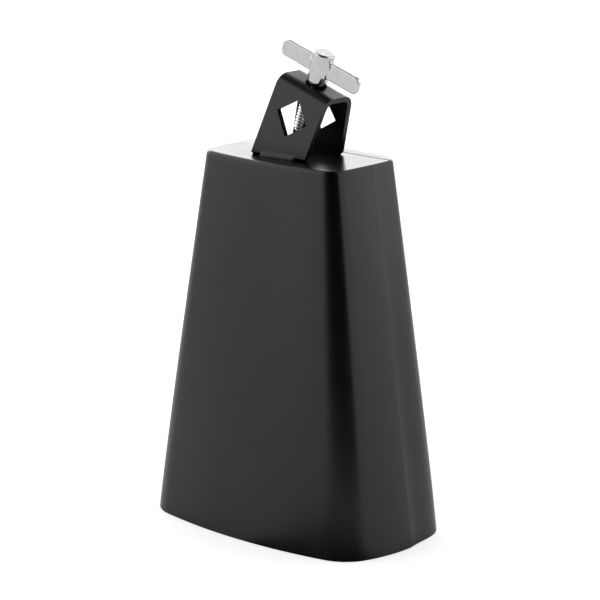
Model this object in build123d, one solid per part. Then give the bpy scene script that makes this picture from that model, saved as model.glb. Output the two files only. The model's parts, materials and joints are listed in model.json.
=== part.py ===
from build123d import *
import os
from math import cos, radians, sin, sqrt, tan

# A hand-struck cowbell: a tapered sheet-steel bell with its mouth down, a tilted U-shaped
# mounting bracket welded to its crown, and a wing screw that clamps a rod in the bracket.
# Millimetres, +Z up, X across the wide faces, origin at the centre of the mouth's plane.

# Bell: each section is four shallow faces joined by four round corners
BELL_HEIGHT = 175.0
SHEET = 1.5
MOUTH = {"half_width": 67.8, "half_depth": 42.4, "wide_radius": 240.0, "narrow_radius": 75.0, "corner": 20.0}
CROWN = {"half_width": 40.8, "half_depth": 26.2, "wide_radius": 197.0, "narrow_radius": 240.0, "corner": 7.9}
CROWN_EDGE_RADIUS = 1.4
SIDE_SEAM_Y = 3.6
CROWN_SEAM_Y = 17.0
SEAM_WIDTH = 2.4
SEAM_PROUD = 0.25

# Mounting bracket, in its own frame: local X along its open ends, local Z along the wing screw
BRACKET_X = -0.85
BRACKET_TILT = 17.8
STRAP_WIDTH = 29.7
STRAP = 2.5
BRACKET_TOP = 34.9
TOP_HALF_DEPTH = 9.1
WALL_SPLAY = 8.9
BEND_RADIUS = 6.0
ROD_HOLE_SIDE = 13.0
ROD_HOLE_HEIGHT = 19.7
FOOT_CHAMFER_HEIGHT = 1.3
FOOT_CHAMFER_DEPTH = 1.9
BARE_LEFT_FOOT = 5.6
BARE_RIGHT_FOOT = 4.4
FOOT_WELD_LEG = 4.2
FOOT_WELD_THROAT = 2.6

# Threaded bush welded under the bracket's top
BUSH_RADIUS = 5.9
BUSH_LENGTH = 5.0
BUSH_CHAMFER = 1.0

# Wing screw: M10 x 1.5, its thread drawn as a plain cylinder at the pitch diameter
THREAD_RADIUS = 4.513
RUNNING_CLEARANCE = 0.06
TIP_CHAMFER = 1.2
NECK_RADIUS = 3.9
WASHER_RADIUS = 4.75
WASHER_THICKNESS = 1.3
WASHER_CLEARANCE = 0.05
SHANK_LENGTH = 25.0
STUD_IN_HUB = 9.0
HUB_LENGTH = 14.6
HUB_FOOT_RADIUS = 4.65
HUB_CAP_RADIUS = 5.3
HUB_CAP_EDGE = 0.9
WING_TURN = 6.0
WING_HALF_SPAN = 21.5
WING_THICKNESS = 2.3
WING_ROOT_LOW = 3.8
WING_ROOT_HIGH = 12.0
WING_TIP_LOW = 4.0
WING_TIP_HIGH = 11.8
WING_ROOT_X = 3.0
WING_CORNER = 1.8
WING_EDGE = 0.7

HUB_FOOT = BRACKET_TOP + WASHER_THICKNESS + WASHER_CLEARANCE
FAR = 200.0


def shape_at(height):
    """The bell's section sizes at a height, in a straight line from mouth to crown."""
    part_way = height / BELL_HEIGHT
    return {key: MOUTH[key] + (CROWN[key] - MOUTH[key]) * part_way for key in MOUTH}


def section(height, inset):
    """The bell's closed outline at a height, moved inwards by inset."""
    size = shape_at(height)
    a, b, wide, narrow, corner = (size[key] - inset for key in MOUTH)
    wide_centre = Vector(0, b - wide)
    narrow_centre = Vector(a - narrow, 0)
    to_wide = wide - corner
    to_narrow = narrow - corner
    line = narrow_centre - wide_centre
    along = (to_wide**2 - to_narrow**2 + line.length**2) / (2 * line.length)
    across = sqrt(to_wide**2 - along**2)
    ray = line.normalized()
    corner_centre = wide_centre + ray * along + Vector(ray.Y, -ray.X) * across
    from_wide = (corner_centre - wide_centre).normalized()
    from_narrow = (corner_centre - narrow_centre).normalized()
    wide_end = wide_centre + from_wide * wide
    narrow_end = narrow_centre + from_narrow * narrow
    corner_middle = corner_centre + (from_wide + from_narrow).normalized() * corner

    def arc(*stops):
        points = [Vector(p.X * x_side, p.Y * y_side, height) for p, x_side, y_side in stops]
        return Edge.make_three_point_arc(*points)

    wide_middle = Vector(0, b)
    narrow_middle = Vector(a, 0)
    return Wire(
        [
            arc((narrow_end, 1, -1), (narrow_middle, 1, 1), (narrow_end, 1, 1)),
            arc((narrow_end, 1, 1), (corner_middle, 1, 1), (wide_end, 1, 1)),
            arc((wide_end, 1, 1), (wide_middle, 1, 1), (wide_end, -1, 1)),
            arc((wide_end, -1, 1), (corner_middle, -1, 1), (narrow_end, -1, 1)),
            arc((narrow_end, -1, 1), (narrow_middle, -1, 1), (narrow_end, -1, -1)),
            arc((narrow_end, -1, -1), (corner_middle, -1, -1), (wide_end, -1, -1)),
            arc((wide_end, -1, -1), (wide_middle, 1, -1), (wide_end, 1, -1)),
            arc((wide_end, 1, -1), (corner_middle, 1, -1), (narrow_end, 1, -1)),
        ]
    )


def tapered(low, high, inset):
    """A solid taper between two heights, moved inwards by inset."""
    return Solid.make_loft([section(low, inset), section(high, inset)], ruled=True)


def bell_wall(proud):
    """The whole hollow bell, its outside raised by proud, with its crown's edge rounded."""
    outside = tapered(0, BELL_HEIGHT + proud, -proud)
    crown_edges = outside.faces().sort_by(Axis.Z)[-1].edges()
    outside = outside.fillet(CROWN_EDGE_RADIUS, crown_edges)
    return outside - tapered(-1, BELL_HEIGHT - SHEET, SHEET)


def block(x=(-FAR, FAR), y=(-FAR, FAR), z=(-FAR, 2 * FAR)):
    """A rectangular block between the given limits."""
    size = [high - low for low, high in (x, y, z)]
    middle = [(high + low) / 2 for low, high in (x, y, z)]
    return Pos(*middle) * Box(*size)


def bell_pieces():
    """Front and rear pressings, and the three ground welds that join them."""
    sheet = bell_wall(0)
    weld_metal = bell_wall(SEAM_PROUD)
    half = SEAM_WIDTH / 2
    under_crown = (-1, BELL_HEIGHT - SHEET)
    in_crown = (BELL_HEIGHT - SHEET, BELL_HEIGHT + 1)
    side_front, side_back = SIDE_SEAM_Y - half, SIDE_SEAM_Y + half
    crown_front, crown_back = CROWN_SEAM_Y - half, CROWN_SEAM_Y + half
    front = sheet & (block(y=(-FAR, side_front)) + block(y=(side_front, crown_front), z=in_crown))
    rear = sheet & (block(y=(side_back, FAR), z=under_crown) + block(y=(crown_back, FAR), z=in_crown))
    left = weld_metal & block(x=(-FAR, 0), y=(side_front, side_back), z=under_crown)
    right = weld_metal & block(x=(0, FAR), y=(side_front, side_back), z=under_crown)
    crown = weld_metal & block(y=(crown_front, crown_back), z=in_crown)
    return {
        "front_shell": front,
        "rear_shell": rear,
        "left_seam_weld": left,
        "right_seam_weld": right,
        "crown_seam_weld": crown,
    }


def bracket_frame():
    """Where the bracket stands: on the crown, leaning over towards +X."""
    lean = radians(BRACKET_TILT)
    along, up = (cos(lean), 0, -sin(lean)), (sin(lean), 0, cos(lean))
    return Plane(origin=(BRACKET_X, 0, BELL_HEIGHT), x_dir=along, z_dir=up)


def on_bracket(piece):
    """Moves a piece from the bracket's own frame to the bell's."""
    return bracket_frame().location * piece


def bracket_prism(inset):
    """A long trapezium with rounded top edges, the bracket's outside moved inwards by inset."""
    splay = radians(WALL_SPLAY)
    bottom = -2 * STRAP_WIDTH * sin(radians(BRACKET_TILT))
    top = BRACKET_TOP - inset
    slant = inset / cos(splay)
    top_half = TOP_HALF_DEPTH + inset * tan(splay) - slant
    bottom_half = TOP_HALF_DEPTH + (BRACKET_TOP - bottom) * tan(splay) - slant
    outline = Plane.YZ * Polyline(
        (-bottom_half, bottom), (-top_half, top), (top_half, top), (bottom_half, bottom), close=True
    )
    length = STRAP_WIDTH + 2 * inset
    prism = extrude(make_face(outline), amount=length / 2, both=True)
    bends = prism.edges().filter_by(Axis.X).group_by(Axis.Z)[-1]
    return fillet(bends, BEND_RADIUS - inset)


def foot_ends():
    """The bracket's left and right ends where it meets the crown."""
    reach = STRAP_WIDTH / 2 / cos(radians(BRACKET_TILT))
    return BRACKET_X - reach, BRACKET_X + reach


def along_foot(side, start_x, end_x, edges):
    """A bar along one wall's foot, its outline measured outwards and upwards from the foot's line."""
    slope = tan(radians(WALL_SPLAY))
    lean = sin(radians(BRACKET_TILT))

    def foot(x):
        depth = TOP_HALF_DEPTH + (BRACKET_TOP - (x - BRACKET_X) * lean) * slope
        return Vector(x, side * depth, BELL_HEIGHT)

    start, end = foot(start_x), foot(end_x)
    across = Plane(origin=start, x_dir=(0, side, 0), z_dir=(side, 0, 0))
    return extrude(make_face(across * edges), dir=end - start, amount=(end - start).length)


def mount_bracket():
    """The bent strap with its square rod holes, its bore, and feet chamfered for welding."""
    rod_hole = Pos(0, 0, ROD_HOLE_HEIGHT) * Rot(0, 45, 0) * Box(ROD_HOLE_SIDE, FAR, ROD_HOLE_SIDE)
    bore = Cylinder(THREAD_RADIUS + RUNNING_CLEARANCE, FAR)
    strap = on_bracket(bracket_prism(0) - bracket_prism(STRAP) - rod_hole - bore)
    strap -= block(z=(0, BELL_HEIGHT))
    left_end, right_end = foot_ends()
    chamfer_edges = Polyline(
        (FOOT_CHAMFER_HEIGHT, -1),
        (FOOT_CHAMFER_HEIGHT, FOOT_CHAMFER_HEIGHT),
        (0, FOOT_CHAMFER_HEIGHT),
        (-FOOT_CHAMFER_DEPTH, 0),
        (-FOOT_CHAMFER_DEPTH, -1),
        close=True,
    )
    for side in (-1, 1):
        strap -= along_foot(side, left_end - STRAP, right_end + STRAP, chamfer_edges)
    return strap


def foot_weld(side, cut_by):
    """The fillet weld along the outside of one wall's foot: side is -1 in front and 1 behind."""
    left_end, right_end = foot_ends()
    root = FOOT_CHAMFER_DEPTH
    throat = FOOT_WELD_THROAT / sqrt(2)
    toe_in = FOOT_WELD_LEG * tan(radians(WALL_SPLAY))
    edges = Curve() + [
        ThreePointArc((FOOT_WELD_LEG, 0), (throat, throat), (-toe_in, FOOT_WELD_LEG)),
        Polyline((-toe_in, FOOT_WELD_LEG), (-root, FOOT_WELD_LEG), (-root, 0), (FOOT_WELD_LEG, 0)),
    ]
    bead = along_foot(side, left_end + BARE_LEFT_FOOT, right_end - BARE_RIGHT_FOOT, edges)
    for other in cut_by:
        bead -= other
    return bead


def threaded_bush(strap):
    """The round bush under the bracket's top that carries the thread, fitted to the strap's bends."""
    body = Cylinder(BUSH_RADIUS, BUSH_LENGTH)
    body = chamfer(body.edges(), BUSH_CHAMFER) - Cylinder(THREAD_RADIUS + RUNNING_CLEARANCE, FAR)
    return on_bracket(Pos(0, 0, BRACKET_TOP - STRAP - BUSH_LENGTH / 2) * body) - strap


def captive_washer():
    """The black washer held in the undercut below the wing screw's hub."""
    ring = Cylinder(WASHER_RADIUS, WASHER_THICKNESS) - Cylinder(NECK_RADIUS + RUNNING_CLEARANCE, FAR)
    return on_bracket(Pos(0, 0, BRACKET_TOP + WASHER_THICKNESS / 2) * ring)


def threaded_shaft():
    """The screw's stud: chamfered tip, thread, undercut for the washer, and root cast into the hub."""
    tip = HUB_FOOT - SHANK_LENGTH
    outline = Plane.XZ * Polyline(
        (0, tip),
        (THREAD_RADIUS - TIP_CHAMFER, tip),
        (THREAD_RADIUS, tip + TIP_CHAMFER),
        (THREAD_RADIUS, BRACKET_TOP - WASHER_CLEARANCE),
        (NECK_RADIUS, BRACKET_TOP - WASHER_CLEARANCE),
        (NECK_RADIUS, HUB_FOOT + STUD_IN_HUB),
        (0, HUB_FOOT + STUD_IN_HUB),
        close=True,
    )
    return on_bracket(revolve(make_face(outline), Axis.Z))


def wing_blade():
    """One flat pair of wings through the hub's axis, its corners and edges rounded."""
    outline = Plane.XZ * Polyline(
        (-WING_HALF_SPAN, WING_TIP_LOW),
        (-WING_ROOT_X, WING_ROOT_LOW),
        (WING_ROOT_X, WING_ROOT_LOW),
        (WING_HALF_SPAN, WING_TIP_LOW),
        (WING_HALF_SPAN, WING_TIP_HIGH),
        (WING_ROOT_X, WING_ROOT_HIGH),
        (-WING_ROOT_X, WING_ROOT_HIGH),
        (-WING_HALF_SPAN, WING_TIP_HIGH),
        close=True,
    )
    blade = extrude(make_face(outline), amount=WING_THICKNESS / 2, both=True)
    tips = blade.edges().filter_by(Axis.Y)
    blade = fillet(tips.group_by(Axis.X)[0] + tips.group_by(Axis.X)[-1], WING_CORNER)
    flats = blade.faces().sort_by(Axis.Y)
    return fillet(flats[0].edges() + flats[-1].edges(), WING_EDGE)


def wing_head():
    """The cast head: a tapered hub with two flat wings, bored for the stud."""
    hub = Solid.make_cone(HUB_FOOT_RADIUS, HUB_CAP_RADIUS, HUB_LENGTH)
    hub = hub.fillet(HUB_CAP_EDGE, hub.faces().sort_by(Axis.Z)[-1].edges())
    head = hub + Rot(0, 0, WING_TURN) * wing_blade()
    head -= Cylinder(NECK_RADIUS, 2 * STUD_IN_HUB)
    return on_bracket(Pos(0, 0, HUB_FOOT) * head)


def build():
    """Every sub-part by its node name."""
    nodes = bell_pieces()
    nodes["mount_bracket"] = mount_bracket()
    meets_foot = [nodes["mount_bracket"], nodes["crown_seam_weld"]]
    nodes["front_foot_weld"] = foot_weld(-1, meets_foot)
    nodes["rear_foot_weld"] = foot_weld(1, meets_foot)
    nodes["threaded_bush"] = threaded_bush(nodes["mount_bracket"])
    nodes["captive_washer"] = captive_washer()
    nodes["threaded_shaft"] = threaded_shaft()
    nodes["wing_head"] = wing_head()
    return nodes


os.makedirs("parts", exist_ok=True)
for name, solid in build().items():
    export_step(solid, f"parts/{name}.step")
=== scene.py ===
import json
import math

import bmesh
import bpy
import numpy as np
from mathutils import Matrix, Vector, noise


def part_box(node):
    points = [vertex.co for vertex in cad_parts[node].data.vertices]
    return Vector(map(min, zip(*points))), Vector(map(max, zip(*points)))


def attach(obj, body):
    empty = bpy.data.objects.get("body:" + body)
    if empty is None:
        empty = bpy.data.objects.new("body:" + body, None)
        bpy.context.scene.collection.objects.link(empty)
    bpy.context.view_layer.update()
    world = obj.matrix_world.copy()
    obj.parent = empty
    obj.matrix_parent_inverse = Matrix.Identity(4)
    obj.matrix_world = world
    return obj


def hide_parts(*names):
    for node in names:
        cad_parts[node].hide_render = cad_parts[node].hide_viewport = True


# A hand-struck cowbell: two black steel pressings welded together, a U-shaped mounting
# bracket on the crown and a chromed wing screw. Shapes are worked out in millimetres in
# the frame's own axes and scaled to metres when each mesh is made.

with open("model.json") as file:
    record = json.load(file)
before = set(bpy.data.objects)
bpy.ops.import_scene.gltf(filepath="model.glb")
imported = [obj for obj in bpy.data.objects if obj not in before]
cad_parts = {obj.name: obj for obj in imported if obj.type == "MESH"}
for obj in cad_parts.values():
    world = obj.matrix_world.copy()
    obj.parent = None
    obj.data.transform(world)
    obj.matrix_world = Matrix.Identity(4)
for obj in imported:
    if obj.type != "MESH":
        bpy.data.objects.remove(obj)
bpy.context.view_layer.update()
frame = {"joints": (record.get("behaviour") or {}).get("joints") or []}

MM = 0.001
X, Y, Z = range(3)


# ---------------------------------------------------------------- where things stand

def in_mm(corner):
    """A frame position in millimetres."""
    return corner / MM


screw_joint = next(joint for joint in frame["joints"] if joint["name"] == "screw_turn")
SCREW_AXIS = Vector(screw_joint["axis"]).normalized()
SCREW_POINT = in_mm(Vector(screw_joint["pos_m"]))
CROWN = in_mm(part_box("front_shell")[1]).z

# The bracket's own frame: origin where the screw's axis meets the crown, Z along the screw
BRACKET_ORIGIN = SCREW_POINT - SCREW_AXIS * (SCREW_POINT.z - CROWN) / SCREW_AXIS.z
BRACKET_SIDE = Vector((SCREW_AXIS.z, 0, -SCREW_AXIS.x))
TILT = math.atan2(SCREW_AXIS.x, SCREW_AXIS.z)


def to_frame(points):
    """Points given in the bracket's own frame, moved to the bell's."""
    points = np.asarray(points, float)
    axes = np.array([BRACKET_SIDE, (0, 1, 0), SCREW_AXIS])
    return points @ axes + np.array(BRACKET_ORIGIN)


# ---------------------------------------------------------------- camera

CAMERA_AZIMUTH = math.radians(41.09)
CAMERA_ELEVATION = math.radians(14.08)
CAMERA_ROLL = math.radians(0.44)
CAMERA_DISTANCE = 1.2639
CAMERA_LENS = 162.96
SENSOR = 36.0
AIM_RIGHT = 0.00085
AIM_UP = 0.0180
CLIP = (0.05, 20)


def make_camera():
    """The long-lens camera at the photograph's angle, aimed at the bell's mid-height."""
    az, el = CAMERA_AZIMUTH, CAMERA_ELEVATION
    back = Vector((math.sin(az) * math.cos(el), -math.cos(az) * math.cos(el), math.sin(el)))
    right = Vector((math.cos(az), math.sin(az), 0))
    up = back.cross(right)
    aim = Vector((0, 0, CROWN * MM / 2)) + right * AIM_RIGHT + up * AIM_UP
    tilted_right = right * math.cos(CAMERA_ROLL) + up * math.sin(CAMERA_ROLL)
    tilted_up = up * math.cos(CAMERA_ROLL) - right * math.sin(CAMERA_ROLL)
    data = bpy.data.cameras.new("camera")
    data.lens = CAMERA_LENS
    data.sensor_width = SENSOR
    data.clip_start, data.clip_end = CLIP
    camera = bpy.data.objects.new("camera", data)
    bpy.context.scene.collection.objects.link(camera)
    turn = Matrix((tilted_right, tilted_up, back)).transposed().to_4x4()
    camera.matrix_world = Matrix.Translation(aim + back * CAMERA_DISTANCE) @ turn
    bpy.context.scene.camera = camera


# ---------------------------------------------------------------- node graphs

WHITE = (1, 1, 1, 1)


def grey(value):
    """A neutral colour."""
    return (value, value, value, 1)


def add(tree, kind, inputs=None, **settings):
    """Adds one node; inputs are either constants or the sockets that feed them."""
    made = tree.nodes.new(kind)
    for key, value in settings.items():
        setattr(made, key, value)
    for key, value in (inputs or {}).items():
        if isinstance(value, bpy.types.NodeSocket):
            tree.links.new(value, made.inputs[key])
        else:
            made.inputs[key].default_value = value
    return made


def math_node(tree, operation, *values):
    """One Math node's result."""
    return add(tree, "ShaderNodeMath", dict(enumerate(values)), operation=operation).outputs[0]


def product(tree, first, second, third):
    """Three values multiplied together."""
    return math_node(tree, "MULTIPLY", math_node(tree, "MULTIPLY", first, second), third)


def fade(tree, value, low, high, to_low=0.0, to_high=1.0):
    """A smooth step from to_low at low to to_high at high."""
    made = add(
        tree,
        "ShaderNodeMapRange",
        {"Value": value, "From Min": low, "From Max": high, "To Min": to_low, "To Max": to_high},
        interpolation_type="SMOOTHSTEP",
    )
    return made.outputs["Result"]


# ---------------------------------------------------------------- light and floor

# The room's radiance at each azimuth in degrees, from -Y towards +X. The camera stands in its
# dark part. Other pairs of angles here are the start and end of a soft edge, in degrees.
ROOM = (
    (-180, 0.36),
    (-165, 0.38),
    (-152, 0.85),
    (-138, 1.05),
    (-60, 1.16),
    (-26, 1.22),
    (-8, 0.5),
    (6, 0.09),
    (30, 0.02),
    (84, 0.02),
    (91, 0.88),
    (130, 0.88),
    (143, 1.42),
    (154, 1.42),
    (167, 0.42),
    (180, 0.36),
)
FULL_TURN = 360.0
UPPER_ROOM = (6, 24)
UPPER_ROOM_GAIN = 1.12
CEILING_EDGE = (46, 62)
CEILING = 0.12
REAR_LIGHT_AZIMUTH = 221
REAR_LIGHT_HALF_WIDTH = (34, 50)
REAR_LIGHT_BOTTOM = (1, 10)
REAR_LIGHT_TOP = (22, 30)
REAR_LIGHT = 2.1
BACKDROP = 1.0
# The floor's lengths are in metres. It is darker near the object on the camera's side, to every ray but
# the camera's: a painted shadow of the object, cast towards the camera by the light behind it.
FLOOR_ALBEDO = 0.8
FLOOR_SHADE_ALBEDO = 0.2
FLOOR_SHADE_REACH = (0.1, 0.24)
FLOOR_SHADE_SIDES = (24, 46)
FLOOR_SEEN_ALBEDO = 0.9
FLOOR_LIFT = 0.66
FLOOR_GLOW = 0.2
FLOOR_AHEAD = 0.5
FLOOR_REACH = 3.0


def studio_world():
    """A bright room with a strong light behind and a dark gap on the camera's side.

    Reflections see the room, and the camera itself sees a plain white backdrop.
    """
    world = bpy.data.worlds.new("studio")
    bpy.context.scene.world = world
    world.use_nodes = True
    tree = world.node_tree
    tree.nodes.clear()
    direction = add(tree, "ShaderNodeTexCoord").outputs["Generated"]
    axes = add(tree, "ShaderNodeSeparateXYZ", {0: direction})
    x, y, z = (axes.outputs[i] for i in (X, Y, Z))
    ahead = math_node(tree, "MULTIPLY", y, -1.0)
    azimuth = math_node(tree, "DEGREES", math_node(tree, "ARCTAN2", x, ahead))
    elevation = math_node(tree, "DEGREES", math_node(tree, "ARCSINE", z))
    turn = math_node(tree, "MULTIPLY_ADD", azimuth, 1 / FULL_TURN, 0.5)
    level = add(tree, "ShaderNodeValToRGB", {0: turn})
    stops = level.color_ramp.elements
    while len(stops) < len(ROOM):
        stops.new(1.0)
    brightest = max(radiance for _, radiance in ROOM)
    for stop, (degrees, radiance) in zip(stops, ROOM):
        stop.position = degrees / FULL_TURN + 0.5
        stop.color = grey(radiance / brightest)
    room = math_node(tree, "MULTIPLY", level.outputs["Color"], brightest)
    upper = fade(tree, elevation, *UPPER_ROOM, 1.0, UPPER_ROOM_GAIN)
    ceiling = fade(tree, elevation, *CEILING_EDGE, 1.0, CEILING)
    room = product(tree, room, upper, ceiling)
    positive = math_node(tree, "FLOORED_MODULO", azimuth, FULL_TURN)
    past_light = math_node(tree, "SUBTRACT", positive, REAR_LIGHT_AZIMUTH)
    off_light = math_node(tree, "ABSOLUTE", past_light)
    behind = fade(tree, off_light, *REAR_LIGHT_HALF_WIDTH, 1.0, 0.0)
    bottom = fade(tree, elevation, *REAR_LIGHT_BOTTOM)
    top = fade(tree, elevation, *REAR_LIGHT_TOP, 1.0, 0.0)
    rear = product(tree, behind, bottom, top)
    radiance = math_node(tree, "MULTIPLY_ADD", rear, REAR_LIGHT, room)
    lit = add(tree, "ShaderNodeBackground", {"Color": WHITE, "Strength": radiance})
    seen = add(tree, "ShaderNodeBackground", {"Color": WHITE, "Strength": BACKDROP})
    by_camera = add(tree, "ShaderNodeLightPath").outputs["Is Camera Ray"]
    either = add(tree, "ShaderNodeMixShader", {0: by_camera, 1: lit.outputs[0], 2: seen.outputs[0]})
    add(tree, "ShaderNodeOutputWorld", {"Surface": either.outputs[0]})


def make_floor():
    """A plain white sheet that ends a little way in front of the object, as a paper sweep does.

    A little light of its own keeps it white to the camera, with only a faint contact shadow.
    """
    ahead = Vector((math.sin(CAMERA_AZIMUTH), -math.cos(CAMERA_AZIMUTH), 0))
    across = Vector((ahead.y, -ahead.x, 0))
    corners = [
        ahead * FLOOR_AHEAD - across * FLOOR_REACH,
        ahead * FLOOR_AHEAD + across * FLOOR_REACH,
        -ahead * FLOOR_REACH + across * FLOOR_REACH,
        -ahead * FLOOR_REACH - across * FLOOR_REACH,
    ]
    mesh = bpy.data.meshes.new("floor")
    mesh.from_pydata(corners, [], [(0, 3, 2, 1)])
    floor = bpy.data.objects.new("floor", mesh)
    bpy.context.scene.collection.objects.link(floor)
    material = bpy.data.materials.new("floor_paper")
    material.use_nodes = True
    tree = material.node_tree
    tree.nodes.clear()
    place = add(tree, "ShaderNodeTexCoord").outputs["Object"]
    spot = add(tree, "ShaderNodeVectorMath", {0: place}, operation="NORMALIZE")
    toward = add(
        tree, "ShaderNodeVectorMath", {0: spot.outputs["Vector"], 1: ahead}, operation="DOT_PRODUCT"
    )
    off_ahead = math_node(tree, "DEGREES", math_node(tree, "ARCCOSINE", toward.outputs["Value"]))
    distance = add(tree, "ShaderNodeVectorMath", {0: place}, operation="LENGTH")
    # Painted shadow: near the object on the camera's side the paper is darker and loses its glow,
    # except to the camera.
    near = fade(tree, distance.outputs["Value"], *FLOOR_SHADE_REACH, 1.0, 0.0)
    shade = math_node(tree, "MULTIPLY", near, fade(tree, off_ahead, *FLOOR_SHADE_SIDES, 1.0, 0.0))
    albedo = fade(tree, shade, 0.0, 1.0, FLOOR_ALBEDO, FLOOR_SHADE_ALBEDO)
    by_camera = add(tree, "ShaderNodeLightPath").outputs["Is Camera Ray"]
    colour = fade(tree, by_camera, 0.0, 1.0, albedo, FLOOR_SEEN_ALBEDO)
    paper = add(tree, "ShaderNodeBsdfDiffuse", {"Color": colour})
    glow = fade(tree, shade, 0.0, 1.0, FLOOR_GLOW, 0.0)
    strength = fade(tree, by_camera, 0.0, 1.0, glow, FLOOR_LIFT)
    lift = add(tree, "ShaderNodeEmission", {"Color": WHITE, "Strength": strength})
    both = add(tree, "ShaderNodeAddShader", {0: paper.outputs[0], 1: lift.outputs[0]})
    add(tree, "ShaderNodeOutputMaterial", {"Surface": both.outputs[0]})
    floor.data.materials.append(material)


# ---------------------------------------------------------------- materials

# The part of a noise's range over which colours and roughnesses change
TINT_SPAN = (0.35, 0.65)
ROUGH_SPAN = (0.3, 0.7)


def surface(name, metallic=0.0, ior=1.5):
    """A new material's tree, its shader and its position in the frame."""
    material = bpy.data.materials.new(name)
    material.use_nodes = True
    tree = material.node_tree
    shader = tree.nodes["Principled BSDF"]
    shader.inputs["Metallic"].default_value = metallic
    shader.inputs["IOR"].default_value = ior
    place = add(tree, "ShaderNodeTexCoord").outputs["Object"]
    return material, tree, shader, place


def grain(tree, place, size, detail):
    """Noise with features of about the given size in millimetres, from 0 to 1."""
    inputs = {"Vector": place, "Scale": 1 / (size * MM), "Detail": detail}
    return add(tree, "ShaderNodeTexNoise", inputs).outputs["Fac"]


def tint(tree, amount, dark, light):
    """A colour that runs from dark to light as a noise value rises through its middle."""
    share = fade(tree, amount, *TINT_SPAN)
    mixed = add(tree, "ShaderNodeMix", {"Factor": share}, data_type="RGBA")
    mixed.inputs["A"].default_value = (*dark, 1)
    mixed.inputs["B"].default_value = (*light, 1)
    return mixed.outputs["Result"]


def bump(tree, height, depth, below=None):
    """A bump of the given depth in millimetres, added to the one below it."""
    inputs = {"Height": height, "Distance": depth * MM, "Strength": 1.0}
    if below is not None:
        inputs["Normal"] = below
    return add(tree, "ShaderNodeBump", inputs).outputs["Normal"]


# Paint: sizes in millimetres, but DUST_SCALE in cells to the metre
PAINT_IOR = 1.54
PAINT_TINT = (0.96, 0.96, 1.0)
PAINT_DARK = (0.0009, 0.0009, 0.0011)
PAINT_LIGHT = (0.0017, 0.0016, 0.0020)
CLOUD_SIZE = 22
PEEL_SIZE = 2.4
FINE_SIZE = 0.7
FINE_PEEL = 0.25
CLOUD_ROUGHNESS = (-0.015, 0.02)
FINE_ROUGHNESS = 0.03
DUST_SCALE = 130.0
DUST_EDGE = (0.02, 0.05)
DUST_RARITY = 0.9
DUST_COLOUR = (0.02, 0.02, 0.02, 1)
DUST_HEIGHT = 0.01
# Painted shade: the paint's reflection is turned down in hollows that ambient occlusion finds enclosed
PAINTED_SHADE_EDGE = (0.45, 0.85)
PAINTED_SHADE_GLOSS = 0.06
OPEN_GLOSS = 0.5
RECESS_SAMPLES = 8


def satin_paint(name, rough, peel, painted_shade_reach=None):
    """Sprayed satin black: orange peel, faint cloudiness, specks of dust, and, given a reach, painted
    shade: its reflection turned down in recesses.
    """
    material, tree, shader, place = surface(name, ior=PAINT_IOR)
    shader.inputs["Specular Tint"].default_value = (*PAINT_TINT, 1)
    if painted_shade_reach is not None:
        # Painted shade: where the surface is enclosed, its reflection is turned down so hollows read
        # dark
        open_to = add(
            tree, "ShaderNodeAmbientOcclusion", {"Distance": painted_shade_reach * MM}, samples=RECESS_SAMPLES
        )
        painted_shade = fade(tree, open_to.outputs["AO"], *PAINTED_SHADE_EDGE, PAINTED_SHADE_GLOSS, OPEN_GLOSS)
        tree.links.new(painted_shade, shader.inputs["Specular IOR Level"])
    cloud = grain(tree, place, CLOUD_SIZE, detail=2)
    fine = grain(tree, place, FINE_SIZE, detail=3)
    colour = tint(tree, cloud, PAINT_DARK, PAINT_LIGHT)
    specks = add(tree, "ShaderNodeTexVoronoi", {"Vector": place, "Scale": DUST_SCALE})
    near_speck = fade(tree, specks.outputs["Distance"], *DUST_EDGE, 1.0, 0.0)
    rare = math_node(tree, "GREATER_THAN", specks.outputs["Color"], DUST_RARITY)
    speck = math_node(tree, "MULTIPLY", near_speck, rare)
    dusty = add(tree, "ShaderNodeMix", {"Factor": speck}, data_type="RGBA")
    tree.links.new(colour, dusty.inputs["A"])
    dusty.inputs["B"].default_value = DUST_COLOUR
    tree.links.new(dusty.outputs["Result"], shader.inputs["Base Color"])
    smoother, rougher = (rough + change for change in CLOUD_ROUGHNESS)
    roughness = fade(tree, cloud, *ROUGH_SPAN, smoother, rougher)
    finer = math_node(tree, "MULTIPLY_ADD", fine, FINE_ROUGHNESS, roughness)
    tree.links.new(finer, shader.inputs["Roughness"])
    wide = bump(tree, grain(tree, place, PEEL_SIZE, detail=2), peel)
    close = bump(tree, fine, peel * FINE_PEEL, wide)
    raised = bump(tree, speck, DUST_HEIGHT, close)
    tree.links.new(raised, shader.inputs["Normal"])
    return material


# Chrome: sizes in millimetres
HAZE_SIZE = 3.0
HAZE_DULLNESS = 0.93
HAZE_ROUGHNESS = (0.7, 1.4)
RIPPLE_SIZE = 1.8
SCRATCH_SIZE = 0.25
SCRATCH_SHARE = 0.08


def chrome(name, colour, rough, ripple):
    """Bright plating: a little haze, and faint ripples and fine scratches in its surface."""
    material, tree, shader, place = surface(name, metallic=1.0)
    haze = grain(tree, place, HAZE_SIZE, detail=4)
    dull = tuple(channel * HAZE_DULLNESS for channel in colour)
    tree.links.new(tint(tree, haze, dull, colour), shader.inputs["Base Color"])
    smoother, rougher = (rough * change for change in HAZE_ROUGHNESS)
    roughness = fade(tree, haze, *ROUGH_SPAN, smoother, rougher)
    tree.links.new(roughness, shader.inputs["Roughness"])
    cast = bump(tree, grain(tree, place, RIPPLE_SIZE, detail=1), ripple)
    scratch = grain(tree, place, SCRATCH_SIZE, detail=2)
    fine = bump(tree, scratch, ripple * SCRATCH_SHARE, cast)
    tree.links.new(fine, shader.inputs["Normal"])
    return material


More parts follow.
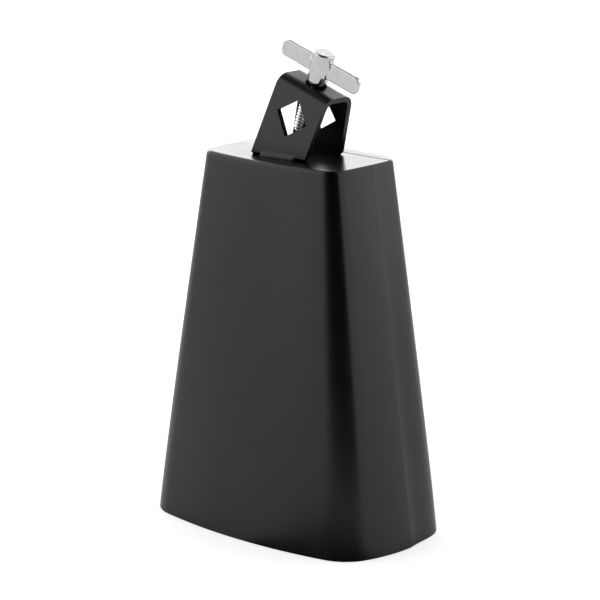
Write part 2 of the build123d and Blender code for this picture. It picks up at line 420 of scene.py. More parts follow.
# Nylon: sizes in millimetres
NYLON_IOR = 1.53
NYLON_GLOSS = 0.05
NYLON_DARK = (0.002, 0.002, 0.002)
NYLON_LIGHT = (0.005, 0.005, 0.005)
NYLON_ROUGHNESS = (0.6, 0.75)
PEBBLE_SIZE = 0.3
PEBBLE_HEIGHT = 0.01


def nylon(name):
    """Moulded black nylon: matt and finely pebbled."""
    material, tree, shader, place = surface(name, ior=NYLON_IOR)
    shader.inputs["Specular IOR Level"].default_value = NYLON_GLOSS
    pebbles = grain(tree, place, PEBBLE_SIZE, detail=3)
    tree.links.new(tint(tree, pebbles, NYLON_DARK, NYLON_LIGHT), shader.inputs["Base Color"])
    roughness = fade(tree, pebbles, *ROUGH_SPAN, *NYLON_ROUGHNESS)
    tree.links.new(roughness, shader.inputs["Roughness"])
    tree.links.new(bump(tree, pebbles, PEBBLE_HEIGHT), shader.inputs["Normal"])
    return material


# ---------------------------------------------------------------- meshes

# SHARP and EASE_ANGLE are in degrees
SHARP = 32.0
EASE_SEGMENTS = 3
EASE_ANGLE = 40
FLAT_WEIGHT = 60

# Cutters run past what they cut, in millimetres
CUT_CLEAR = 5.0
FAR = 200.0


def make_piece(name, points, faces, material, sharp=SHARP):
    """A smooth-shaded object from points in millimetres in the bell's frame."""
    mesh = bpy.data.meshes.new(name)
    mesh.from_pydata((np.asarray(points) * MM).tolist(), [], faces)
    work = bmesh.new()
    work.from_mesh(mesh)
    bmesh.ops.recalc_face_normals(work, faces=work.faces)
    work.to_mesh(mesh)
    work.free()
    mesh.shade_smooth()
    if sharp is not None:
        mesh.set_sharp_from_angle(angle=math.radians(sharp))
    piece = bpy.data.objects.new(name, mesh)
    bpy.context.scene.collection.objects.link(piece)
    if material is not None:
        mesh.materials.append(material)
    return piece


def strips(count, columns):
    """The quads between each closed row of points and the next."""
    faces = []
    for start in range(0, (count - 1) * columns, columns):
        after = start + columns
        for column in range(columns):
            beside = (column + 1) % columns
            faces.append((start + column, start + beside, after + beside, after + column))
    return faces


def ends_joined(count):
    """The faces of a block between two outlines of the same number of points."""
    faces = [(i, (i + 1) % count, count + (i + 1) % count, count + i) for i in range(count)]
    return faces + [tuple(range(count)), tuple(range(count, 2 * count))]


def rings_mesh(rings):
    """Points and faces of a closed skin through a list of rings, with a fan at each end."""
    columns = len(rings[0])
    points = [tuple(p) for ring in rings for p in ring]
    faces = strips(len(rings), columns)
    for start in (0, (len(rings) - 1) * columns):
        centre = np.mean(points[start:start + columns], axis=0)
        points.append(tuple(centre))
        hub = len(points) - 1
        faces += [(start + c, start + (c + 1) % columns, hub) for c in range(columns)]
    return points, faces


def looped_mesh(rings):
    """Points and faces of a ring-shaped skin: the last ring joins the first one."""
    columns = len(rings[0])
    points = [tuple(p) for ring in rings for p in ring]
    count = len(rings)
    faces = strips(count, columns)
    last = (count - 1) * columns
    for column in range(columns):
        beside = (column + 1) % columns
        faces.append((last + column, last + beside, beside, column))
    return points, faces


def prism(outline, axis, low, high, move=None):
    """A straight block: an outline in two axes, run along the third from low to high."""
    others = [i for i in (X, Y, Z) if i != axis]
    points = []
    for end in (low, high):
        for a, b in outline:
            point = [0.0, 0.0, 0.0]
            point[others[0]], point[others[1]], point[axis] = a, b, end
            points.append(point)
    if move is not None:
        points = move(points)
    return make_piece("cutter", points, ends_joined(len(outline)), None, None)


def apply_modifiers(piece):
    """Applies a piece's modifiers and leaves none on it."""
    bpy.context.view_layer.update()
    shaped = piece.evaluated_get(bpy.context.evaluated_depsgraph_get())
    mesh = bpy.data.meshes.new_from_object(shaped)
    piece.modifiers.clear()
    old = piece.data
    piece.data = mesh
    bpy.data.meshes.remove(old)


def cut(piece, operation, cutters):
    """Cuts a piece with others, by a Boolean operation, and removes them."""
    for cutter in cutters:
        step = piece.modifiers.new("cut", "BOOLEAN")
        step.operation = operation
        step.solver = "MANIFOLD"
        step.object = cutter
    apply_modifiers(piece)
    for cutter in cutters:
        bpy.data.objects.remove(cutter)


def ease(piece, width):
    """Rounds a piece's sharp edges by a width in millimetres and keeps its flats flat."""
    edge = piece.modifiers.new("edge", "BEVEL")
    edge.width = width * MM
    edge.segments = EASE_SEGMENTS
    edge.limit_method = "ANGLE"
    edge.angle_limit = math.radians(EASE_ANGLE)
    edge.use_clamp_overlap = True
    flatten(piece)


def flatten(piece):
    """Smooth shading that lets the larger faces keep their own direction."""
    piece.data.shade_smooth()
    step = piece.modifiers.new("weighted", "WEIGHTED_NORMAL")
    step.keep_sharp = True
    step.weight = FLAT_WEIGHT
    apply_modifiers(piece)


def settle(piece, body, slot, *nodes):
    """Rides a piece on its body and lets it stand for its CAD nodes. The slot is not used."""
    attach(piece, body)
    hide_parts(*nodes)


# ---------------------------------------------------------------- the bell

# Each section is four shallow arcs joined by four round corners. Lengths are in millimetres,
# and FOLD_END is in degrees round from the wide face's middle to the narrow side's.
SHEET = 1.5
MOUTH_SECTION = {"half_width": 67.8, "half_depth": 42.4, "wide": 240.0, "narrow": 75.0, "corner": 20.0}
CROWN_SECTION = {"half_width": 40.8, "half_depth": 26.2, "wide": 197.0, "narrow": 240.0, "corner": 7.9}
FOLD = 1.4
SIDE_FOLD = 0.35
FOLD_END = (52, 60)
CEILING_GAP = 0.01
RIM_OUTSIDE = 0.65
RIM_INSIDE = 0.4
SEAM_HALF = 1.2
SEAM_PROUD = 0.05
SEAM_KINK = 0.27
SEAM_SOFTNESS = 1.2
SIDE_SEAM_Y = 3.6
CROWN_SEAM_Y = 17.0
CROWN_SEAM_PROUD = 0.2
SEAM_FADE = 0.7
CROWN_SEAM_CUTS = 7
CROWN_SEAM_REACH = 0.75
SHEET_WAVE = 0.035
WAVE_SPAN = (23, 23, 48)
MIDWAY_HALF_WIDTH = 60
MIDWAY_HALF_DEPTH = 38
WIDE_STEPS = 26
CORNER_STEPS = 12
NARROW_STEPS = 18
CLOSER_TO_SEAM = 1.5
WALL_ROWS = 60
PLATE_RINGS = (0.985, 0.93, 0.82, 0.66, 0.48, 0.3, 0.14)
INSIDE_ROWS = 30
RIM_INSIDE_STEPS = 3
RIM_OUTSIDE_STEPS = 5
FOLD_STEPS = 6


def quadrant(height, inset):
    """A quarter of the section, from the wide face's middle to the narrow side's middle."""
    share = height / CROWN
    size = {key: MOUTH_SECTION[key] * (1 - share) + CROWN_SECTION[key] * share for key in MOUTH_SECTION}
    a, b, wide, narrow, corner = (size[key] - inset for key in MOUTH_SECTION)
    wide_centre = np.array([0, b - wide])
    narrow_centre = np.array([a - narrow, 0])
    line = narrow_centre - wide_centre
    length = np.hypot(*line)
    to_wide, to_narrow = wide - corner, narrow - corner
    along = (to_wide**2 - to_narrow**2 + length**2) / (2 * length)
    across = math.sqrt(to_wide**2 - along**2)
    ray = line / length
    centre = wide_centre + ray * along + np.array([ray[1], -ray[0]]) * across
    wide_turn = math.atan2(centre[0] - wide_centre[0], centre[1] - wide_centre[1])
    narrow_rise = math.atan2(centre[1] - narrow_centre[1], centre[0] - narrow_centre[0])
    corner_turn = math.pi / 2 - narrow_rise - wide_turn
    points = []
    for i in range(WIDE_STEPS):
        t = wide_turn * i / WIDE_STEPS
        points.append(wide_centre + wide * np.array([math.sin(t), math.cos(t)]))
    for i in range(CORNER_STEPS):
        t = wide_turn + corner_turn * i / CORNER_STEPS
        points.append(centre + corner * np.array([math.sin(t), math.cos(t)]))
    for i in range(NARROW_STEPS + 1):
        t = narrow_rise * (1 - i / NARROW_STEPS) ** CLOSER_TO_SEAM
        points.append(narrow_centre + narrow * np.array([math.cos(t), math.sin(t)]))
    return np.array(points)


def section(height, inset):
    """The bell's closed outline at a height, moved inwards by inset.

    Behind the side seams the narrow sides bend in a little, more so towards the mouth, and the
    outside of each seam stands slightly proud.
    """
    quarter = quadrant(height, inset)
    loop = np.vstack([
        quarter * (1, -1), quarter[-2::-1], quarter[1:] * (-1, 1), quarter[-2:0:-1] * (-1, -1),
    ])
    end = quarter[WIDE_STEPS + CORNER_STEPS, 1]
    past = loop[:, 1] - SIDE_SEAM_Y
    ramp = (past + np.hypot(past, SEAM_SOFTNESS)) / 2
    share = np.clip(past / (end - SIDE_SEAM_Y), 0, 1)
    drop = SEAM_KINK * (1 - height / CROWN) ** SEAM_FADE * ramp * (1 - share) ** 2
    if inset < SHEET / 2:
        off_seam = np.clip(np.abs(past) / SEAM_HALF, 0, 1)
        drop = drop - SEAM_PROUD * np.cos(off_seam * math.pi / 2) ** 2
    on_side = np.abs(loop[:, 1]) < end
    loop[:, 0] -= np.sign(loop[:, 0]) * np.where(on_side, drop, 0)
    return np.column_stack([loop, np.full(len(loop), height)])


def fold_sizes(ring):
    """The crown edge's fold at each point: round over the wide faces, ground sharp at the sides."""
    across = np.abs(ring[:, 0]) / CROWN_SECTION["half_width"]
    through = np.abs(ring[:, 1]) / CROWN_SECTION["half_depth"]
    turn = np.degrees(np.arctan2(across, through))
    share = np.clip((turn - FOLD_END[0]) / (FOLD_END[1] - FOLD_END[0]), 0, 1)
    return FOLD + (SIDE_FOLD - FOLD) * share**2 * (3 - 2 * share)


def waved(ring):
    """Moves a ring in and out a little, as a pressed sheet is never quite true."""
    moved = []
    for x, y, z in ring:
        out = Vector((x / MIDWAY_HALF_WIDTH**2, y / MIDWAY_HALF_DEPTH**2, 0)).normalized()
        place = Vector(value / span for value, span in zip((x, y, z), WAVE_SPAN))
        shift = noise.noise(place) * SHEET_WAVE
        moved.append((x + out.x * shift, y + out.y * shift, z))
    return np.array(moved)


def bell_wall():
    """The hollow bell as one closed skin: inner crown, inner wall, rim, outer wall, fold, crown."""
    inside_top = CROWN - SHEET + CEILING_GAP
    rings = []
    for share in reversed(PLATE_RINGS):
        rings.append(section(inside_top, SHEET) * (share, share, 1))
    for height in np.linspace(inside_top, RIM_INSIDE, INSIDE_ROWS):
        rings.append(section(height, SHEET))
    for turn in np.linspace(0, math.pi / 2, RIM_INSIDE_STEPS + 1)[1:]:
        inset = SHEET - RIM_INSIDE * (1 - math.cos(turn))
        rings.append(section(RIM_INSIDE * (1 - math.sin(turn)), inset))
    for turn in np.linspace(0, math.pi / 2, RIM_OUTSIDE_STEPS + 1)[:-1]:
        inset = RIM_OUTSIDE * (1 - math.sin(turn))
        rings.append(section(RIM_OUTSIDE * (1 - math.cos(turn)), inset))
    for height in np.linspace(RIM_OUTSIDE, CROWN - FOLD, WALL_ROWS):
        rings.append(section(height, 0))
    top, inner = section(CROWN, 0), section(CROWN, 1)
    fold = fold_sizes(top)[:, None]
    for turn in np.linspace(0, math.pi / 2, FOLD_STEPS + 1)[1:]:
        ring = top + (inner - top) * fold * (1 - math.cos(turn))
        ring[:, 2] = CROWN - fold[:, 0] * (1 - math.sin(turn))
        rings.append(ring)
    edge = rings[-1]
    for share in PLATE_RINGS:
        rings.append(edge * (share, share, 1))
    rings = [waved(ring) for ring in rings]
    return rings_mesh(rings)


def raise_crown_weld(piece):
    """Cuts the crown's weld into strips along its length and rounds up its top."""
    work = bmesh.new()
    work.from_mesh(piece.data)
    for share in np.linspace(-CROWN_SEAM_REACH, CROWN_SEAM_REACH, CROWN_SEAM_CUTS):
        everything = work.verts[:] + work.edges[:] + work.faces[:]
        where = Vector((0, (CROWN_SEAM_Y + share * SEAM_HALF) * MM, 0))
        bmesh.ops.bisect_plane(work, geom=everything, plane_co=where, plane_no=(0, 1, 0))
    for vertex in work.verts:
        if vertex.co.z > (CROWN - SHEET / 2) * MM:
            off = min(1.0, abs(vertex.co.y / MM - CROWN_SEAM_Y) / SEAM_HALF)
            vertex.co.z += CROWN_SEAM_PROUD * MM * math.cos(off * math.pi / 2) ** 2
    work.to_mesh(piece.data)
    work.free()


def make_bell(paint):
    """The two pressings and the three ground welds, cut from one wall."""
    points, faces = bell_wall()
    top, bottom, below = CROWN + CUT_CLEAR, -CUT_CLEAR, CROWN - SHEET
    near, far = SIDE_SEAM_Y - SEAM_HALF, SIDE_SEAM_Y + SEAM_HALF
    crown_near, crown_far = CROWN_SEAM_Y - SEAM_HALF, CROWN_SEAM_Y + SEAM_HALF
    side_strip = ((near, bottom), (far, bottom), (far, below), (near, below))
    outlines = {
        "front_pressing": (
            (-FAR, bottom), (near, bottom), (near, below),
            (crown_near, below), (crown_near, top), (-FAR, top),
        ),
        "rear_pressing": (
            (far, bottom), (FAR, bottom), (FAR, top),
            (crown_far, top), (crown_far, below), (far, below),
        ),
        "left_weld": side_strip,
        "right_weld": side_strip,
        "crown_weld": ((crown_near, below), (crown_far, below), (crown_far, top), (crown_near, top)),
    }
    spans = {"left_weld": (-FAR, 0), "right_weld": (0, FAR)}
    stands_for = {
        "front_pressing": "front_shell",
        "rear_pressing": "rear_shell",
        "left_weld": "left_seam_weld",
        "right_weld": "right_seam_weld",
        "crown_weld": "crown_seam_weld",
    }
    for name, outline in outlines.items():
        piece = make_piece(name, points, faces, paint)
        cut(piece, "INTERSECT", [prism(outline, X, *spans.get(name, (-FAR, FAR)))])
        if name == "crown_weld":
            raise_crown_weld(piece)
        piece.data.set_sharp_from_angle(angle=math.radians(SHARP))
        flatten(piece)
        settle(piece, "bell", "bell_paint", stands_for[name])


# ---------------------------------------------------------------- the bracket

# Lengths in millimetres, heights along the screw from the crown
STRAP = 2.5
STRAP_WIDTH = 29.7
BRACKET_TOP = 34.9
TOP_HALF_DEPTH = 9.1
SPLAY = math.radians(8.9)
BEND = 6.0
STRAP_EDGE = 0.55
ROD_HOLE_SIDE = 13.0
ROD_HOLE_HEIGHT = 19.7
ROD_HOLE_CORNER = 0.5
BEND_STEPS = 14
HOLE_CORNER_STEPS = 4
BORE_STEPS = 72
BORE_REACH = 9
THREAD_MAJOR = 5.0
THREAD_MINOR = 4.08
THREAD_PITCH = 1.5
THREAD_GAP = 0.06
FOOT_CHAMFER_HEIGHT = 1.3
FOOT_CHAMFER_DEPTH = 1.9
FOOT_CLEAR = 1.0
BARE_LEFT_FOOT = 5.6
BARE_RIGHT_FOOT = 4.4


def half_depth(local_height, inset=0.0):
    """The bracket wall's distance from the middle plane at a height in its own frame."""
    return TOP_HALF_DEPTH + (BRACKET_TOP - local_height) * math.tan(SPLAY) - inset / math.cos(SPLAY)


def rounded(corners, radius, steps, closed=False):
    """A line through the corners with each one rounded by an arc."""
    corners = [np.array(c, float) for c in corners]
    count = len(corners)
    line = []
    for i, corner in enumerate(corners):
        if not closed and i in (0, count - 1):
            line.append(corner)
            continue
        back = corners[i - 1] - corner
        ahead = corners[(i + 1) % count] - corner
        back /= np.hypot(*back)
        ahead /= np.hypot(*ahead)
        middle = (back + ahead) / np.hypot(*(back + ahead))
        half = math.acos(np.clip(back @ ahead, -1, 1)) / 2
        centre = corner + middle * radius / math.sin(half)
        start = corner + back * radius / math.tan(half) - centre
        stop = corner + ahead * radius / math.tan(half) - centre
        turn = math.atan2(start[0] * stop[1] - start[1] * stop[0], start @ stop)
        for k in range(steps + 1):
            t = turn * k / steps
            c, s = math.cos(t), math.sin(t)
            line.append(centre + (start[0] * c - start[1] * s, start[0] * s + start[1] * c))
    return np.array(line)


def circle(radius, steps):
    """Points round a circle."""
    turns = np.arange(steps) * math.tau / steps
    return [(radius * math.cos(t), radius * math.sin(t)) for t in turns]


def foot_depth(x):
    """The wall's distance from the middle plane where it meets the crown at x."""
    return half_depth((x - BRACKET_ORIGIN.x) * math.sin(TILT))


def foot_chamfer(side):
    """The wedge taken off the outside of one wall's foot before it is welded."""
    outline = [
        (FOOT_CLEAR, -FOOT_CLEAR), (FOOT_CLEAR, FOOT_CHAMFER_HEIGHT), (0.0, FOOT_CHAMFER_HEIGHT),
        (-FOOT_CHAMFER_DEPTH, 0.0), (-FOOT_CHAMFER_DEPTH, -FOOT_CLEAR),
    ]
    ends = (BRACKET_ORIGIN.x - STRAP_WIDTH, BRACKET_ORIGIN.x + STRAP_WIDTH)
    points = [(x, side * (foot_depth(x) + out), CROWN + up) for x in ends for out, up in outline]
    return make_piece("cutter", points, ends_joined(len(outline)), None, None)


def make_bracket(paint):
    """The bent strap with its rounded bends, square rod holes, bore and chamfered feet."""
    foot = -2 * STRAP_WIDTH * math.sin(TILT)

    def path(inset):
        """The strap's outline from foot to foot, from below the crown, moved inwards by inset."""
        top = BRACKET_TOP - inset
        corners = [
            (-half_depth(foot, inset), foot), (-half_depth(top, inset), top),
            (half_depth(top, inset), top), (half_depth(foot, inset), foot),
        ]
        return rounded(corners, BEND - inset, BEND_STEPS)

    outer, inner = path(0), path(STRAP)
    count = len(outer)
    outline = np.vstack([outer, inner[::-1]])
    points = [(x, y, z) for x in (-STRAP_WIDTH / 2, STRAP_WIDTH / 2) for y, z in outline]
    faces = strips(2, 2 * count)
    for start in (0, 2 * count):
        last = start + 2 * count - 1
        for i in range(count - 1):
            faces.append((start + i, start + i + 1, last - i - 1, last - i))
    strap = make_piece("bracket_strap", to_frame(points), faces, paint)
    reach = ROD_HOLE_SIDE / math.sqrt(2)
    diamond = [(-reach, 0), (0, -reach), (reach, 0), (0, reach)]
    hole = rounded(diamond, ROD_HOLE_CORNER, HOLE_CORNER_STEPS, closed=True)
    bore = circle(THREAD_MAJOR + THREAD_GAP, BORE_STEPS)
    crown_block = [(-FAR, -FAR), (FAR, -FAR), (FAR, FAR), (-FAR, FAR)]
    cutters = [
        prism(hole + (0, ROD_HOLE_HEIGHT), Y, -FAR, FAR, to_frame),
        prism(bore, Z, BRACKET_TOP - BORE_REACH, BRACKET_TOP + BORE_REACH, to_frame),
        prism(crown_block, Z, CROWN - FAR, CROWN),
        foot_chamfer(-1),
        foot_chamfer(1),
    ]
    cut(strap, "DIFFERENCE", cutters)
    ease(strap, STRAP_EDGE)
    settle(strap, "bell", "bracket_paint", "mount_bracket")


# ---------------------------------------------------------------- the foot welds

WELD_LEG = 2.9
WELD_STEPS = 56
WELD_PROFILE = 10
WELD_IN_WALL = 0.4
WELD_IN_CROWN = 0.3
WELD_OVERLAP = 0.02
WELD_END = 2.2
WELD_LEAST = 0.12
WELD_WOBBLE = 0.04
WOBBLE_SPAN = 2.6
WOBBLE_SIDE = 7.0
WELD_SHARP = 50


def make_foot_weld(name, side, node, paint):
    """A concave fillet bead along the outside of one wall's foot, rounded off at its ends."""
    end = STRAP_WIDTH / 2 / math.cos(TILT)
    start_x = BRACKET_ORIGIN.x - end + BARE_LEFT_FOOT
    stop_x = BRACKET_ORIGIN.x + end - BARE_RIGHT_FOOT
    slope = math.tan(SPLAY)
    rings = []
    for i in range(WELD_STEPS + 1):
        share = i / WELD_STEPS
        x = start_x + (stop_x - start_x) * share
        foot_y = foot_depth(x)
        ends = min(share, 1 - share) * (stop_x - start_x)
        full = math.sqrt(max(0.0, 1 - max(0.0, 1 - ends / WELD_END) ** 2))
        wobble = 1 + WELD_WOBBLE * noise.noise(Vector((x / WOBBLE_SPAN, side * WOBBLE_SIDE, 0)))
        leg = WELD_LEG * max(WELD_LEAST, full) * wobble
        ring = [(x, side * (foot_y - WELD_IN_WALL), CROWN - WELD_IN_CROWN)]
        for k in range(WELD_PROFILE + 1):
            t = k / WELD_PROFILE
            up = leg * (1 - math.cos(t * math.pi / 2))
            out = leg * (1 - math.sin(t * math.pi / 2)) - slope * up
            ring.append((x, side * (foot_y + out + WELD_OVERLAP), CROWN - WELD_OVERLAP + up))
        in_wall = foot_y - slope * leg - WELD_IN_WALL
        ring.append((x, side * in_wall, CROWN + leg - WELD_OVERLAP))
        rings.append(ring)
    bead = make_piece(name, *rings_mesh(rings), paint, WELD_SHARP)
    flatten(bead)
    settle(bead, "bell", "bracket_paint", node)


# ---------------------------------------------------------------- the threads

# CREST and ROOT, the thread's flats, are shares of half its pitch
THREAD_COLUMNS = 64
THREAD_ROWS_PER_TURN = 14
THREAD_STEP = THREAD_PITCH / THREAD_ROWS_PER_TURN
CREST = 0.16
ROOT = 0.22
THREAD_SHARP = 50


def thread_depth(phase):
    """How far out the thread stands at a phase of its pitch, from 0 at the root to 1 at the crest."""
    off_crest = abs((phase + 0.5) % 1.0 - 0.5) * 2
    return 1 - min(1.0, max(0.0, (off_crest - CREST) / (1 - CREST - ROOT)))


def thread_radius(turn, height, gap):
    """The thread's radius at an angle and a height in the bracket's frame, right-handed."""
    depth = thread_depth(height / THREAD_PITCH - turn / math.tau)
    return THREAD_MINOR + (THREAD_MAJOR - THREAD_MINOR) * depth + gap


def thread_ring(height, limit=None, gap=0.0, taper=1.0):
    """One ring of threaded points, no further out than the limit."""
    ring = []
    for turn in np.arange(THREAD_COLUMNS) * math.tau / THREAD_COLUMNS:
        radius = thread_radius(turn, height, gap)
        if limit is not None:
            radius = min(radius, limit)
        radius = THREAD_MINOR + gap + (radius - THREAD_MINOR - gap) * taper
        ring.append((radius * math.cos(turn), radius * math.sin(turn), height))
    return ring


def plain_ring(radius, height):
    """One round ring of points."""
    return [(x, y, height) for x, y in circle(radius, THREAD_COLUMNS)]


SHANK_LENGTH = 25.0
TIP_CHAMFER = 1.2
TIP_INSET = 0.9
TIP_LIP = 0.45
TIP_LIP_RISE = 0.1
THREAD_STOP = 1.2
THREAD_FADE = 1.0
THREAD_LEAST = 0.05
NECK = 3.9
NECK_START = (0.1, 0.4)
NECK_ROOT = 2.0
NECK_ROOT_CHAMFER = 0.2
WASHER_THICKNESS = 1.3
WASHER_GAP = 0.05
HUB_FOOT = BRACKET_TOP + WASHER_THICKNESS + WASHER_GAP


def make_stud(plating):
    """The M10 stud: chamfered tip, rolled thread, undercut for the washer and its root in the hub."""
    tip = HUB_FOOT - SHANK_LENGTH
    thread_end = BRACKET_TOP - THREAD_STOP
    rings = [
        plain_ring(THREAD_MINOR - TIP_INSET, tip),
        plain_ring(THREAD_MINOR - TIP_LIP, tip + TIP_LIP_RISE),
    ]
    height = tip + TIP_LIP
    while height < thread_end:
        limit = THREAD_MAJOR - TIP_CHAMFER + height - tip
        taper = min(1.0, (thread_end - height) / THREAD_FADE)
        rings.append(thread_ring(height, limit, taper=max(THREAD_LEAST, taper)))
        height += THREAD_STEP
    rings += [
        plain_ring(THREAD_MINOR, thread_end + NECK_START[0]),
        plain_ring(NECK, thread_end + NECK_START[1]),
        plain_ring(NECK, HUB_FOOT + NECK_ROOT - NECK_ROOT_CHAMFER),
        plain_ring(NECK - NECK_ROOT_CHAMFER, HUB_FOOT + NECK_ROOT),
    ]
    stud = make_piece("stud", *rings_mesh([to_frame(ring) for ring in rings]), plating, THREAD_SHARP)
    settle(stud, "wing_screw", "stud_chrome", "threaded_shaft")


BUSH_RADIUS = 5.9
BUSH_LENGTH = 5.0
BUSH_CHAMFER = 0.9
BUSH_CORNER_IN = 0.25
BUSH_CORNER_UP = (0.72, 1.3)
BUSH_THREAD_ENDS = (0.35, 0.4)
BUSH_SHARP = 40


def make_bush(paint):
    """The round bush under the bracket's top, threaded right through."""
    top = BRACKET_TOP - STRAP
    bottom = top - BUSH_LENGTH
    corner_low, corner_high = (BUSH_CHAMFER * share for share in BUSH_CORNER_UP)
    rings = [
        plain_ring(THREAD_MAJOR + THREAD_GAP, bottom),
        plain_ring(BUSH_RADIUS - BUSH_CHAMFER, bottom),
        plain_ring(BUSH_RADIUS - BUSH_CORNER_IN, bottom + corner_low),
        plain_ring(BUSH_RADIUS, bottom + corner_high),
        plain_ring(BUSH_RADIUS, top - BUSH_CHAMFER),
        plain_ring(BUSH_RADIUS - BUSH_CHAMFER, top),
        plain_ring(THREAD_MAJOR + THREAD_GAP, top),
    ]
    below, above = BUSH_THREAD_ENDS
    for height in np.arange(top - above, bottom + below, -THREAD_STEP):
        rings.append(thread_ring(height, gap=THREAD_GAP))
    bush = make_piece("bush", *looped_mesh([to_frame(ring) for ring in rings]), paint, BUSH_SHARP)
    settle(bush, "bell", "bracket_paint", "threaded_bush")


WASHER_RADIUS = 4.75
WASHER_HOLE = 3.96
WASHER_ROUND = 0.3
WASHER_ROUND_STEPS = 5
WASHER_SHARP = 50


def make_washer(plastic):
    """The black washer in the undercut below the hub, its edges rounded."""
    low, high = BRACKET_TOP, BRACKET_TOP + WASHER_THICKNESS
    corners = [(WASHER_HOLE, low), (WASHER_RADIUS, low), (WASHER_RADIUS, high), (WASHER_HOLE, high)]
    profile = rounded(corners, WASHER_ROUND, WASHER_ROUND_STEPS, closed=True)
    rings = [to_frame(plain_ring(radius, height)) for radius, height in profile]
    washer = make_piece("washer", *looped_mesh(rings), plastic, WASHER_SHARP)
    settle(washer, "washer", "washer_nylon", "captive_washer")


# ---------------------------------------------------------------- the wing head

# Lengths in millimetres, heights above the hub's foot
HUB_LENGTH = 14.6
HUB_FOOT_RADIUS = 4.65
HUB_CAP_RADIUS = 5.3
HUB_EDGE = 0.85
WING_TURN = math.radians(6.0)
WING_LEAN = math.radians(2.7)
WING_HALF_SPAN = 22.0
WING_HALF_THICKNESS = 1.15
WING_LOW = 3.7
WING_HIGH = 11.7
WING_CORNER = 2.6
WING_EDGE = 0.5
ROOT_FILLET = 0.35
ROOT_FLARE = 1.2
CAST_WAVE = 0.035
CAST_WAVE_SPAN = 3.1
HEAD_CELL = 0.28
HEAD_HALF_DEPTH = 7.0
HEAD_MARGIN = 1.0
SKIN_PASSES = 6
SLOPE_STEP = 0.02
LEAST_SLOPE = 0.2


def rounded_meeting(first, second, radius):
    """Signed distance to where two shapes overlap, grown by a radius, so that their edge is round."""
    outside = np.hypot(np.maximum(first, 0), np.maximum(second, 0))
    return outside + np.minimum(np.maximum(first, second), 0) - radius


def box_distance(across, up, half_across, half_up, radius):
    """Signed distance to a rectangle with rounded corners."""
    past_side = np.abs(across) - (half_across - radius)
    past_top = np.abs(up) - (half_up - radius)
    return rounded_meeting(past_side, past_top, radius)


def head_field(x, y, z):
    """Signed distance to the cast head, hub foot at height 0: the hub and wings joined by a fillet."""
    rise = HUB_FOOT_RADIUS + (HUB_CAP_RADIUS - HUB_FOOT_RADIUS) * z / HUB_LENGTH
    across = np.hypot(x, y) - rise + HUB_CAP_RADIUS
    hub = box_distance(across, z - HUB_LENGTH / 2, HUB_CAP_RADIUS, HUB_LENGTH / 2, HUB_EDGE)
    c, s = math.cos(WING_TURN), math.sin(WING_TURN)
    along, through = x * c + y * s, y * c - x * s
    middle, half = (WING_LOW + WING_HIGH) / 2, (WING_HIGH - WING_LOW) / 2
    height = z - middle + along * math.tan(WING_LEAN)
    outline = box_distance(along, height, WING_HALF_SPAN, half, WING_CORNER)
    flat = np.abs(through) - WING_HALF_THICKNESS
    wings = rounded_meeting(outline + WING_EDGE, flat + WING_EDGE, WING_EDGE)
    reach = ROOT_FILLET + ROOT_FLARE * np.clip(1 - (height / half) ** 2, 0, 1)
    blend = np.clip(0.5 + 0.5 * (wings - hub) / reach, 0, 1)
    return wings * (1 - blend) + hub * blend - reach * blend * (1 - blend)


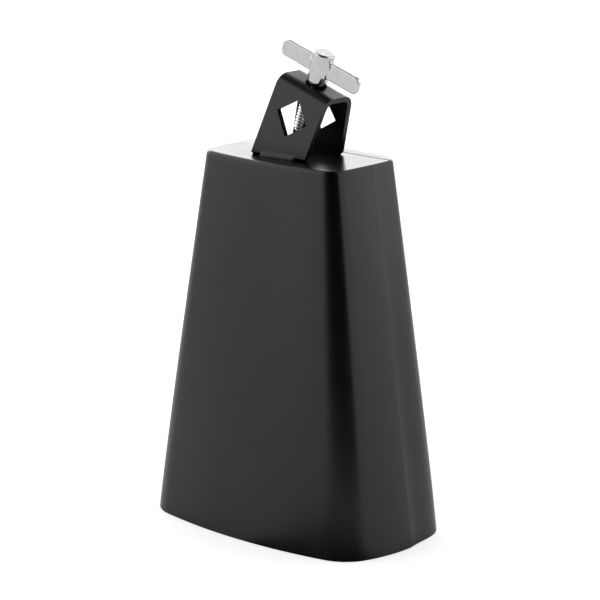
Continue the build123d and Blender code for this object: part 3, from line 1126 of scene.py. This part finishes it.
def skin_of(field, low, high, cell):
    """A quad skin where a field is zero, its points moved onto the surface, and their normals."""
    axes = [np.arange(a, b + cell, cell) for a, b in zip(low, high)]
    grid = field(*np.meshgrid(*axes, indexing="ij"))
    inside = grid < 0
    corners = [(i, j, k) for i in (0, 1) for j in (0, 1) for k in (0, 1)]
    shape = tuple(n - 1 for n in inside.shape)
    held = np.zeros(shape, int)
    for i, j, k in corners:
        held += inside[i:i + shape[0], j:j + shape[1], k:k + shape[2]]
    cells = np.argwhere((held > 0) & (held < len(corners)))
    index = -np.ones(shape, int)
    index[tuple(cells.T)] = np.arange(len(cells))
    points = np.array([axes[a][cells[:, a]] + cell / 2 for a in range(3)]).T
    faces = []
    for axis in range(3):
        b, c = (axis + 1) % 3, (axis + 2) % 3
        here = np.take(inside, range(inside.shape[axis] - 1), axis)
        there = np.take(inside, range(1, inside.shape[axis]), axis)
        for edge in np.argwhere(here != there):
            quad = []
            for db, dc in ((-1, -1), (0, -1), (0, 0), (-1, 0)):
                spot = edge.copy()
                spot[b] += db
                spot[c] += dc
                quad.append(int(index[tuple(spot)]))
            faces.append(tuple(quad) if here[tuple(edge)] else tuple(reversed(quad)))

    def slope(at):
        """The field's gradient at each point."""
        steps = np.eye(3) * SLOPE_STEP
        rise = [field(*(at + step).T) - field(*(at - step).T) for step in steps]
        return np.array(rise).T / (2 * SLOPE_STEP)

    for _ in range(SKIN_PASSES):
        gradient = slope(points)
        size = np.maximum((gradient**2).sum(1), LEAST_SLOPE)
        points = points - gradient * (field(*points.T) / size)[:, None]
    normals = slope(points)
    return points, faces, normals / np.linalg.norm(normals, axis=1)[:, None]


def make_head(plating):
    """The cast wing head as one blended skin, with the slight unevenness of a polished casting."""
    low = (-WING_HALF_SPAN - HEAD_MARGIN, -HEAD_HALF_DEPTH, -HEAD_MARGIN)
    high = (WING_HALF_SPAN + HEAD_MARGIN, HEAD_HALF_DEPTH, HUB_LENGTH + HEAD_MARGIN)
    points, faces, normals = skin_of(head_field, low, high, HEAD_CELL)
    waves = np.array([noise.noise(Vector(p) / CAST_WAVE_SPAN) for p in points]) * CAST_WAVE
    points = points + normals * (waves - CAST_WAVE / 2)[:, None]
    moved = to_frame(points + (0, 0, HUB_FOOT))
    head = make_piece("wings", moved, faces, plating, None)
    turned = to_frame(normals) - to_frame((0, 0, 0))
    head.data.normals_split_custom_set_from_vertices(turned.tolist())
    settle(head, "wing_screw", "head_chrome", "wing_head")


# ---------------------------------------------------------------- the whole

make_camera()
studio_world()
bpy.context.scene.view_settings.view_transform = "Standard"
make_floor()

bell_paint = satin_paint("bell_paint", rough=0.24, peel=0.004)
# The bracket's paint carries painted shade in its hollows, out to 20 mm
bracket_paint = satin_paint("bracket_paint", rough=0.28, peel=0.005, painted_shade_reach=20)
stud_chrome = chrome("stud_chrome", colour=(0.55, 0.55, 0.56), rough=0.12, ripple=0.01)
head_chrome = chrome("head_chrome", colour=(0.78, 0.78, 0.785), rough=0.08, ripple=0.014)
washer_nylon = nylon("washer_nylon")

make_bell(bell_paint)
make_bracket(bracket_paint)
make_foot_weld("front_foot_bead", -1, "front_foot_weld", bracket_paint)
make_foot_weld("rear_foot_bead", 1, "rear_foot_weld", bracket_paint)
make_bush(bracket_paint)
make_washer(washer_nylon)
make_stud(stud_chrome)
make_head(head_chrome)
